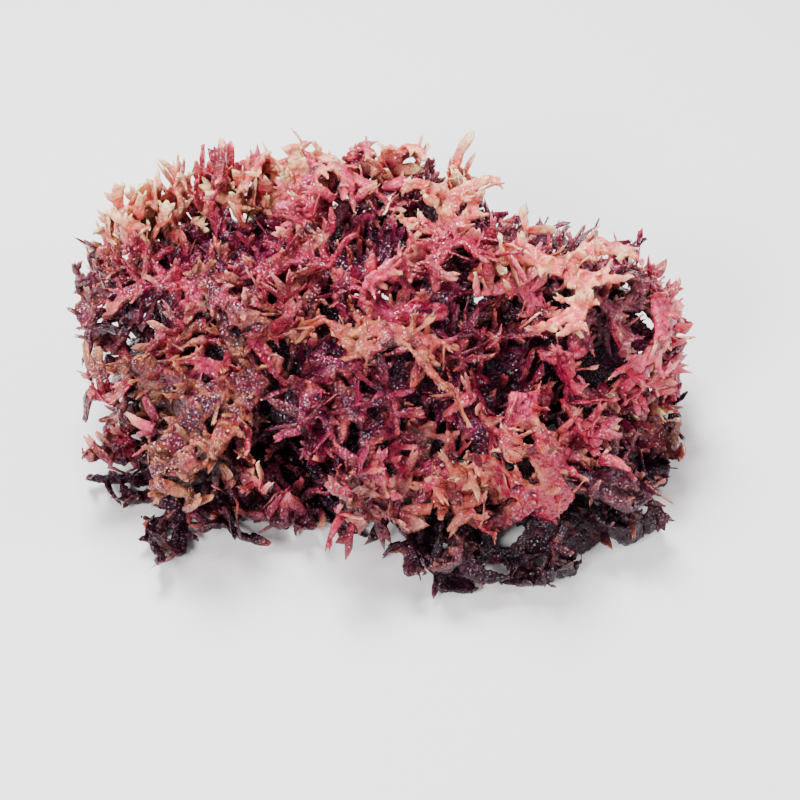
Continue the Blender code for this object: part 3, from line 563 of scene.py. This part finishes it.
def branchlet(number):
    """One flat branchlet that grows up +Z: four joints, a pointed or blunt end and side teeth."""
    draw = random.Random(number)
    bpy.ops.mesh.primitive_circle_add(vertices=6, radius=MM, fill_type="NGON")
    made = bpy.context.object
    made.name = "branchlet"
    bpy.ops.object.mode_set(mode="EDIT")
    bpy.ops.mesh.select_all(action="SELECT")
    middle = Vector((0, 0, 0))
    bpy.ops.transform.rotate(value=math.radians(30), orient_axis="Z", center_override=middle)
    section = (draw.uniform(0.85, 1.3), BLADE_FLATNESS, 1)
    bpy.ops.transform.resize(value=section, center_override=middle)
    lean, bow = draw.uniform(-0.5, 0.5), draw.uniform(-0.35, 0.35)
    heights = [0.0]
    for widening in BLADE_WIDTHS:
        lean += draw.uniform(-0.45, 0.45)
        move = (lean, bow * len(heights), BLADE_JOINT)
        uneven = widening * draw.uniform(0.78, 1.22)
        middle = draw_out(middle, move, (uneven, BLADE_THINNING, 1), draw.uniform(-0.35, 0.35))
        heights.append(middle.z)
    if draw.random() < BLUNT_SHARE:
        draw_to_point((lean * 0.9, bow, BLADE_JOINT * 0.9))
    else:
        draw_out(middle, (lean * 0.5, bow, BLADE_JOINT * 0.6), (0.75, 0.5, 0.6), 0.4)
    places = [(joint, side) for joint in range(4) for side in (-1, 1)]
    for joint, side in draw.sample(places, draw.choice(TOOTH_COUNTS)):
        bpy.ops.mesh.select_all(action="DESELECT")
        bpy.ops.object.mode_set(mode="OBJECT")
        face = edge_face(made.data, side, heights[joint], heights[joint + 1])
        if face is not None:
            face.select = True
            root = face.center.copy()
        bpy.ops.object.mode_set(mode="EDIT")
        if face is not None:
            bpy.ops.mesh.select_mode(type="FACE")
            draw_out(root, (side * TOOTH_OUT, 0, TOOTH_OUT), (0.85, 0.9, 0.8))
            draw_to_point((side * draw.uniform(0.2, 0.8), bow, draw.uniform(0.8, 1.6)))
    bpy.ops.mesh.select_all(action="SELECT")
    bpy.ops.transform.vertex_random(offset=CRUMPLE, seed=number)
    bpy.ops.mesh.normals_make_consistent(inside=False)
    bpy.ops.object.mode_set(mode="OBJECT")
    bpy.ops.object.shade_smooth()
    # Pale from a third of the way up, and thin along the middle of its narrow edges, where the rim
    # colour with its painted glow shows.
    top = max(vert.co.z for vert in made.data.vertices)
    layer = made.data.attributes.new("tip", "FLOAT", "POINT")
    layer.data.foreach_set("value", [
        max(0.0, min(1.0, vert.co.length / top - PALE_FROM) / 0.6) ** 1.2
        for vert in made.data.vertices
    ])
    thickest = max(abs(vert.co.y) for vert in made.data.vertices)
    layer = made.data.attributes.new("rim", "FLOAT", "POINT")
    layer.data.foreach_set("value", [
        THIN_SHARE * (1 - min(1.0, abs(vert.co.y) / thickest)) for vert in made.data.vertices
    ])
    made.select_set(False)
    return made


BRANCHLETS = [branchlet(number) for number in range(24)]
BRANCHLET_LENGTH = 8 * MM

# How far apart the branchlets of each kind of flesh stand, in mm, and their least and largest
# scale.
SPACING = {"crimson": 4.0, "plum": 4.0, "mauve": 3.6, "rose": 4.2, "tan": 4.2, "peach": 5.0}
WEB_SPACING = 2.6
CREST_SPACING = 2.8
SIZES = {
    "crimson": (0.5, 1.05), "plum": (0.5, 1.1), "mauve": (0.4, 0.85), "rose": (0.5, 0.9),
    "tan": (0.4, 0.7), "peach": (0.4, 0.75),
}
CREST_SIZE = 1.7

# The room that the branchlets stay in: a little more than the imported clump's box, above the table.
CAD_LOW, CAD_HIGH = [Vector(corner) for corner in cad_box]
MIDDLE = (CAD_LOW + CAD_HIGH) / 2
PROUD = Vector((2.2, 1.8, 1.5)) * MM
TABLE_GAP = 0.3
CELL = 4

chance = random.Random(7)
hosts = [item.name for item in cad_nodes for _ in item.data.polygons]
planted = {name: [] for name in flesh_pieces}
taken = {}


def cell_of(spot):
    """The cell of a grid that a spot lies in."""
    return tuple(int(value // (CELL * MM)) for value in spot)


def is_free(spot, spacing):
    """Whether no branchlet is rooted nearer to a spot than the spacing."""
    x, y, z = cell_of(spot)
    near = [
        other for dx in (-1, 0, 1) for dy in (-1, 0, 1) for dz in (-1, 0, 1)
        for other in taken.get((x + dx, y + dy, z + dz), ())
    ]
    return all((spot - other).length > spacing for other in near)


def in_room(point):
    """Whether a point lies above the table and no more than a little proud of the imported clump."""
    low, high = CAD_LOW - PROUD, CAD_HIGH + PROUD
    return point.z > TABLE_GAP * MM and all(low[i] < point[i] < high[i] for i in range(3))


ROOT_DEPTH = 0.8
TINT_SPREAD = 0.22
BLEACHES = (0.0, 0.1, 0.2, 0.4, 1.0)


def plant(spot, growth, size, name, sight=None):
    """Roots one branchlet in a node, flat across a sight, if it stays in the clump's own room."""
    spin = Matrix.Rotation(chance.uniform(0, 6.3), 3, "Z")
    turned = growth.to_track_quat("Z", "Y").to_matrix() @ spin
    if sight is not None and growth.cross(sight).length > 0.2:
        wide = growth.cross(sight).normalized()
        turned = Matrix((wide, growth.cross(wide), growth)).transposed()
    root = Matrix.Translation(spot - growth * ROOT_DEPTH * MM)
    place = root @ turned.to_4x4() @ Matrix.Scale(size, 4)
    own_tint, paleness = own_look(name, spot)
    model, tint = chance.choice(BRANCHLETS), own_tint + chance.gauss(0, TINT_SPREAD)
    bleach = 1.0 if SLOTS[name] in ("peach", "tan") else chance.choice(BLEACHES)
    bleach *= paleness
    if all(in_room(place @ vert.co) for vert in model.data.vertices):
        taken.setdefault(cell_of(spot), []).append(spot)
        planted[name].append((model, place, tint, bleach))


SKY_LINES = 16000
LOWEST_ROOT = 3
DEEPEST_SHADE = 0.7
STRAY = 0.45

for _ in range(SKY_LINES):
    # A line from the open sky, at a random slant, onto a random place of the clump.
    turn, height = chance.uniform(0, 2 * math.pi), chance.uniform(0.1, 1.0)
    flat = math.sqrt(1 - height * height)
    sky = Vector((flat * math.cos(turn), flat * math.sin(turn), height))
    aim = Vector((chance.uniform(-74, 74), chance.uniform(-52, 52), chance.uniform(3, 48))) * MM
    spot, normal, face, _ = clump_tree.ray_cast(aim + sky * 0.3, -sky)
    if spot is None or spot.z < LOWEST_ROOT * MM:
        continue
    name = hosts[face]
    spacing = {"web": WEB_SPACING, "cre": CREST_SPACING}.get(name[:3], SPACING[SLOTS[name]])
    if not is_free(spot, spacing * MM) or shades[shade_at.find(spot)[1]] > DEEPEST_SHADE:
        continue
    away = Vector((spot.x / 72, (spot.y - 7 * MM) / 46, (spot.z - 14 * MM) / 34)).normalized()
    stray = Vector([chance.gauss(0, STRAY) for _ in range(3)])
    growth = (normal * 0.3 + away * 0.55 + Vector((0, 0, 0.25)) + stray).normalized()
    size = chance.uniform(*SIZES[SLOTS[name]])
    if name.startswith("crest") and normal.z > 0.2:
        growth, size = (growth * 0.6 + Vector((0, 0, 1.0))).normalized(), size * CREST_SIZE
    plant(spot, growth, size, name)

# Longer ones close the gaps through which daylight would show: between the crest and the dome, and
# under the dome's rim at the back and the sides. They lie flat to the view, and each view gives its
# azimuth, its elevation and how many sight lines are tried.
GAP_VIEWS = ((0, 45, 30000), (180, 25, 10000), (90, 15, 5000), (270, 15, 5000))
GAP_SPACING = 1.5
GAP_STRAY = 0.15
GAP_SIZES = (1.1, 1.8)
LONGEST_GAP = 14
GAP_WALL = 13

for azimuth, elevation, tries in GAP_VIEWS:
    turn, height = math.radians(azimuth), math.sin(math.radians(elevation))
    across = Vector((math.cos(turn), math.sin(turn), 0))
    ahead = Vector((-math.sin(turn), math.cos(turn), 0)) * math.cos(math.radians(elevation))
    ahead.z = -height
    upward = across.cross(ahead)

    def sees(point):
        """Whether the clump stops a sight line through a point."""
        return clump_tree.ray_cast(point - ahead * 0.2, ahead, 0.4)[0] is not None

    for _ in range(tries):
        aim = MIDDLE + (across * chance.uniform(-74, 74) + upward * chance.uniform(-40, 50)) * MM
        if sees(aim):
            continue
        near = []
        for step in range(-14, 15):
            point = aim + ahead * step * 4 * MM
            spot, _, face, reach = clump_tree.find_nearest(point)
            if point.z > 5 * MM:
                near.append((reach, step, point, spot, face))
        reach, _, point, spot, face = min(near, default=(1.0, 0, aim, aim, 0))
        sides = (across, -across, upward, -upward)
        walls = sum(sees(point + way * GAP_WALL * MM) for way in sides)
        if reach > LONGEST_GAP * MM or walls < 3 or not is_free(point, GAP_SPACING * MM):
            continue
        taken.setdefault(cell_of(point), []).append(point)
        stray = Vector([chance.gauss(0, GAP_STRAY) for _ in range(3)])
        growth = ((point - spot).normalized() + stray).normalized()
        smallest, largest = GAP_SIZES
        size = max(smallest, min(largest, reach * 1.9 / BRANCHLET_LENGTH))
        plant(spot, growth, size, hosts[face], ahead)

# Each branchlet is copied to its place, marked as its host is, and joined to it. Its painted shade
# is the host's, but a little lighter towards its tip.
TIP_LIGHTER = 0.4
for name, plants in planted.items():
    host = flesh_pieces[name]
    for model, place, tint, bleach in plants:
        copy = bpy.data.objects.new(name + "_branchlet", model.data.copy())
        bpy.context.scene.collection.objects.link(copy)
        copy.data.transform(place)
        tips = [tip.value for tip in copy.data.attributes["tip"].data]
        copy.data.attributes["tip"].data.foreach_set("value", [tip * bleach for tip in tips])
        depth = copy.data.attributes.new("depth", "FLOAT", "POINT")
        depth.data.foreach_set("value", [
            painted_shade_of(name, vert.co) * (1 - TIP_LIGHTER * tip)
            for vert, tip in zip(copy.data.vertices, tips)
        ])
        tints = copy.data.attributes.new("tint", "FLOAT", "POINT")
        tints.data.foreach_set("value", [tint] * len(tips))
        copy.data.materials.append(FLESH[SLOTS[name]])
        copy.select_set(True)
    if plants:
        host.select_set(True)
        bpy.context.view_layer.objects.active = host
        bpy.ops.object.join()
        host.select_set(False)
for model in BRANCHLETS:
    bpy.data.objects.remove(model)
